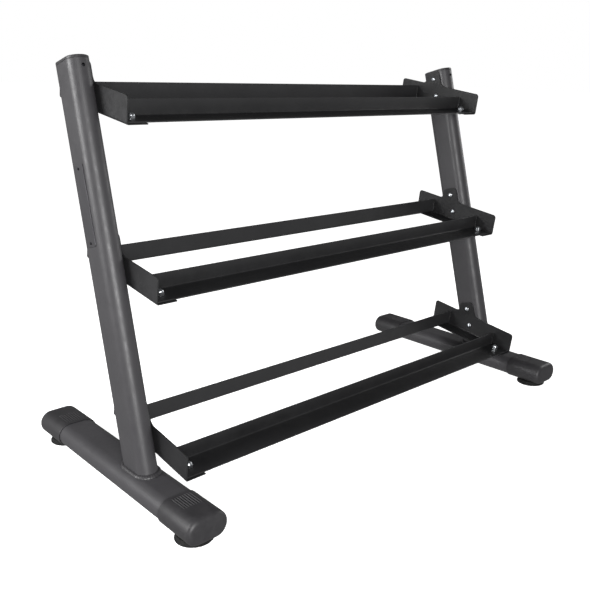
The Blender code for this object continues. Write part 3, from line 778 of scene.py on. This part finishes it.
def name_plate(side_name, side):
    """A blank plate with rounded corners, held by two cross-head screws."""
    outline = rounded_rectangle(PLATE_LENGTH, PLATE_WIDTH, PLATE_CORNER)
    face = UPRIGHT_WIDTH / 2 + GAP
    turned_out = Matrix.Rotation(side * pi / 2, 4, "Y")
    place = upright_frame(side) @ Matrix.Translation((side * face, 0, PLATE_CENTRE)) @ turned_out
    blank = prism("plate", outline, 0, PLATE_THICKNESS)
    node = "name_plate_" + side_name
    fit("plate_blank_" + side_name, blank, GREY_PLATE, place, "frame", [node], PLATE_EDGE)
    profile = dome(PLATE_SCREW_HEAD / 2, PLATE_SCREW_RISE, PLATE_SCREW_RIM)
    profile += [(PLATE_SCREW_HEAD / 2, 0), (0, 0)]
    slots = []
    for half_x, half_y in (CROSS_SLOT, CROSS_SLOT[::-1]):
        corners = [Vector((x * half_x, y * half_y)) for x, y in ((-1, -1), (1, -1), (1, 1), (-1, 1))]
        slots.append((prism("slot", corners, CROSS_SLOT_FLOOR, 5 * CROSS_SLOT_FLOOR), Matrix()))
    screw = carved(turn("plate_screw", profile, 32), slots)
    for end_name, end in (("upper", 1), ("lower", -1)):
        on_face = Matrix.Translation((-side * end * PLATE_SCREW_SPACING / 2, 0, PLATE_THICKNESS + 0.02 * MM))
        fit(f"plate_screw_{end_name}_{side_name}", screw, BLACK_OXIDE, place @ on_face)


# ---------------------------------------------------------------- tiers
def folded_steel(node):
    """A bracket or a rail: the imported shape, with its cut edges softened by the coat."""
    shape = bmesh.new()
    shape.from_mesh(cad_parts[node].data)
    bmesh.ops.remove_doubles(shape, verts=shape.verts, dist=0.01 * MM)
    bmesh.ops.dissolve_limit(shape, angle_limit=radians(1), verts=shape.verts, edges=shape.edges)
    return finish_mesh(shape, node + "_sheet")


def dome_nut():
    """A low dome nut: six flats with a turned chamfer, a washer face and a blind bore."""
    flat = NUT_FLATS / 2
    flats_top = NUT_WASHER_FACE_HEIGHT + NUT_FLATS_HEIGHT
    chamfer_inside = NUT_CHAMFER * flat
    shoulder = []
    foot = []
    for n, p in enumerate(polygon(1, NUT_STEPS)):
        across = flat / cos(2 * pi * n / NUT_STEPS % (pi / 3) - pi / 6)
        drop = (across - chamfer_inside) * tan(pi / 6)
        shoulder.append((p.x * across, p.y * across, flats_top - drop))
        foot.append((p.x * across, p.y * across, NUT_WASHER_FACE_HEIGHT))
    face = NUT_WASHER_FACE / 2
    bore = BOLT_THREAD / 2 + GAP
    dome_points = dome(NUT_DOME / 2, NUT_DOME_HEIGHT, flats_top, 14)
    rings = [circle(radius, height, NUT_STEPS) for radius, height in dome_points[1:]]
    rings += [circle(chamfer_inside, flats_top, NUT_STEPS), shoulder, foot]
    bore_top = THREAD_IN_NUT + NUT_BORE_PAST_BOLT
    below = [(face, NUT_WASHER_FACE_HEIGHT), (face, 0), (bore, 0), (bore, bore_top)]
    rings += [circle(radius, height, NUT_STEPS) for radius, height in below]
    return skin("dome_nut", rings)


def rail_bolts():
    """Round-headed bolts up through flange and rail, each with a dome nut on top."""
    rail_top = 2 * SHEET + 2 * GAP
    head = [(BOLT_THREAD / 2, GAP), (BOLT_HEAD / 2 - GAP, GAP)]
    head += list(reversed(dome(BOLT_HEAD / 2, BOLT_DOME - BOLT_HEAD_RIM, GAP + BOLT_HEAD_RIM, 12)))
    bolt = thread("rail_bolt", BOLT_THREAD, BOLT_PITCH, -rail_top - THREAD_IN_NUT, GAP - BOLT_HEAD_RIM, head)
    nut = dome_nut()
    head_down = Matrix.Rotation(pi, 4, "X")
    for tier, tier_name in enumerate(TIERS):
        for end_name, depth in (("front", BOLT_FROM_TRAY_EDGE), ("rear", TRAY_DEPTH - BOLT_FROM_TRAY_EDGE)):
            for side_name, side in SIDES:
                across = side * (SHEET_FACE_X - SHEET - BOLT_IN_FROM_SHEET)
                place = tray_frame(tier) @ Matrix.Translation((across, depth, 0))
                label = f"{tier_name}_{end_name}_{side_name}"
                above = place @ Matrix.Translation((0, 0, rail_top))
                bolted = place @ head_down
                fit("bolt_" + label, bolt, BRIGHT_ZINC, bolted, "frame", ["rail_bolt_" + label])
                fit("nut_" + label, nut, BRIGHT_ZINC, above, "frame", ["rail_nut_" + label])


def ear_bolts():
    """Two button-head bolts hold each bracket to the inner flat of its upright."""
    mesh = socket_screw(
        "ear_bolt", EAR_BOLT_HEAD, EAR_BOLT_DOME, EAR_BOLT_SOCKET, EAR_BOLT_SHANK, EAR_BOLT_SHANK_SHOWN
    )
    for tier, tier_name in enumerate(TIERS):
        for side_name, side in SIDES:
            inward = Matrix.Rotation(-side * pi / 2, 4, "Y")
            for row, along in (("lower", EAR_BOLTS_ALONG[0]), ("upper", EAR_BOLTS_ALONG[1])):
                up_tube = FIRST_TIER + TIER_SPACING * tier + along
                face = -side * (UPRIGHT_WIDTH / 2 + 2 * GAP + SHEET)
                place = upright_frame(side) @ Matrix.Translation((face, 0, up_tube)) @ inward
                fit(f"ear_bolt_{row}_{tier_name}_{side_name}", mesh, BRIGHT_ZINC, place)


pad_mesh = pad_shape()
stud_mesh = thread("stud", STUD_THREAD, STUD_PITCH, stud_low.z, stud_high.z)
for side_name, side in SIDES:
    foot_beam(side_name, side)
    upright(side_name, side)
    weld_bead(side_name, side)
    top_cap(side_name, side)
    name_plate(side_name, side)
    for end_name, end in ENDS:
        end_sleeve(side_name, side, end_name, end)
        levelling_foot(side_name, side, end_name, end, pad_mesh, stud_mesh)
cap_screws()
for tier_name in TIERS:
    for piece, parts in (("bracket", ("left", "right")), ("rail", ("front", "rear"))):
        for part in parts:
            node = f"{piece}_{tier_name}_{part}"
            fit("coated_" + node, folded_steel(node), BLACK_COAT, Matrix(), "frame", [node], SHEET_EDGE)
rail_bolts()
ear_bolts()


# ---------------------------------------------------------------- studio
def lit_paper(name, colour):
    """Background paper lit from below: matt, with a faint fibre, and bright enough to burn out."""
    made, tree, shader, place = new_material(name, Roughness=0.95)
    fibre = add_node(tree, "TexNoise", {"Scale": 1 / (40 * MM), "Detail": 4}, [("Vector", place)])
    tone = add_node(
        tree,
        "Mix",
        {"data_type": "RGBA", 6: linear(colour), 7: linear("#FFFFFF")},
        [(0, fibre.outputs[0])],
    )
    tree.links.new(tone.outputs[2], shader.inputs["Base Color"])
    shader.inputs["Emission Color"].default_value = (1, 1, 1, 1)
    shader.inputs["Emission Strength"].default_value = 1.0
    return made


def floor():
    """A wide white floor that doesn't throw its own light back on the rack."""
    half = 60
    corners = [Vector((x * half, y * half)) for x, y in ((-1, -1), (1, -1), (1, 1), (-1, 1))]
    ground = bpy.data.objects.new("floor", prism("floor", corners, -20 * MM, 0))
    ground.data.materials.append(lit_paper("white_background_paper", "#F4F4F4"))
    ground.visible_diffuse = False
    ground.visible_glossy = False
    bpy.context.scene.collection.objects.link(ground)


def softbox(name, place, aim, size, watts):
    lamp = bpy.data.lights.new(name, "AREA")
    lamp.shape = "RECTANGLE"
    lamp.size, lamp.size_y = size
    lamp.energy = watts
    stand = bpy.data.objects.new(name, lamp)
    stand.location = place
    stand.rotation_euler = (Vector(aim) - Vector(place)).to_track_quat("-Z", "Y").to_euler()
    bpy.context.scene.collection.objects.link(stand)


def studio():
    """A pale room, dimmer overhead, and three softboxes that shape the tube."""
    world = bpy.data.worlds.new("studio")
    world.use_nodes = True
    tree = world.node_tree
    tree.nodes.clear()
    heading = add_node(tree, "TexCoord", {}).outputs["Generated"]
    height = add_node(tree, "SeparateXYZ", {}, [(0, heading)])
    fall_off = add_node(
        tree,
        "MapRange",
        {"From Min": -0.2, "From Max": 0.7, "To Min": 0.34, "To Max": 0.05},
        [("Value", height.outputs["Z"])],
    )
    fill = add_node(tree, "Background", {"Color": (1, 1, 1, 1)}, [("Strength", fall_off.outputs[0])])
    white = add_node(tree, "Background", {"Color": (1, 1, 1, 1), "Strength": 1.0})
    seen = add_node(tree, "LightPath", {}).outputs["Is Camera Ray"]
    room = add_node(tree, "MixShader", {}, [(0, seen), (1, fill.outputs[0]), (2, white.outputs[0])])
    add_node(tree, "OutputWorld", {}, [("Surface", room.outputs[0])])
    bpy.context.scene.world = world
    softbox("key_left", (-2.6, 0.8, 1.35), (-0.5, 0, 0.6), (1.2, 1.4), 64)
    softbox("beside_camera", (-1.5, -2.3, 1.0), (-0.5, 0, 0.5), (0.8, 1.0), 64)
    softbox("side_right", (2.5, -0.4, 1.2), (0.3, 0, 0.5), (1.2, 1.2), 16)


def camera():
    """A normal lens just above the top tier, off the left front corner of the rack."""
    eye = bpy.data.cameras.new("camera")
    eye.sensor_width = 36
    eye.lens = 46.61
    eye.shift_x = -0.0726
    eye.shift_y = -0.0619
    holder = bpy.data.objects.new("camera", eye)
    yaw, pitch, roll = radians(44.02), radians(-13.32), radians(-1.118)
    forward = Vector((sin(yaw) * cos(pitch), cos(yaw) * cos(pitch), sin(pitch)))
    right = Vector((cos(yaw), -sin(yaw), 0))
    down = forward.cross(right)
    level_right = cos(roll) * right + sin(roll) * down
    level_down = -sin(roll) * right + cos(roll) * down
    columns = Matrix((level_right, -level_down, -forward)).transposed().to_4x4()
    holder.matrix_world = Matrix.Translation((-1.3344, -1.4311, 0.8848)) @ columns
    bpy.context.scene.collection.objects.link(holder)
    bpy.context.scene.camera = holder


for leftover in ("Cube", "Light", "Camera"):
    if leftover in bpy.data.objects:
        bpy.data.objects.remove(bpy.data.objects[leftover])
for tool_mesh in [m for m in bpy.data.meshes if not m.users]:
    bpy.data.meshes.remove(tool_mesh)
floor()
studio()
camera()
bpy.context.scene.view_settings.view_transform = "Standard"
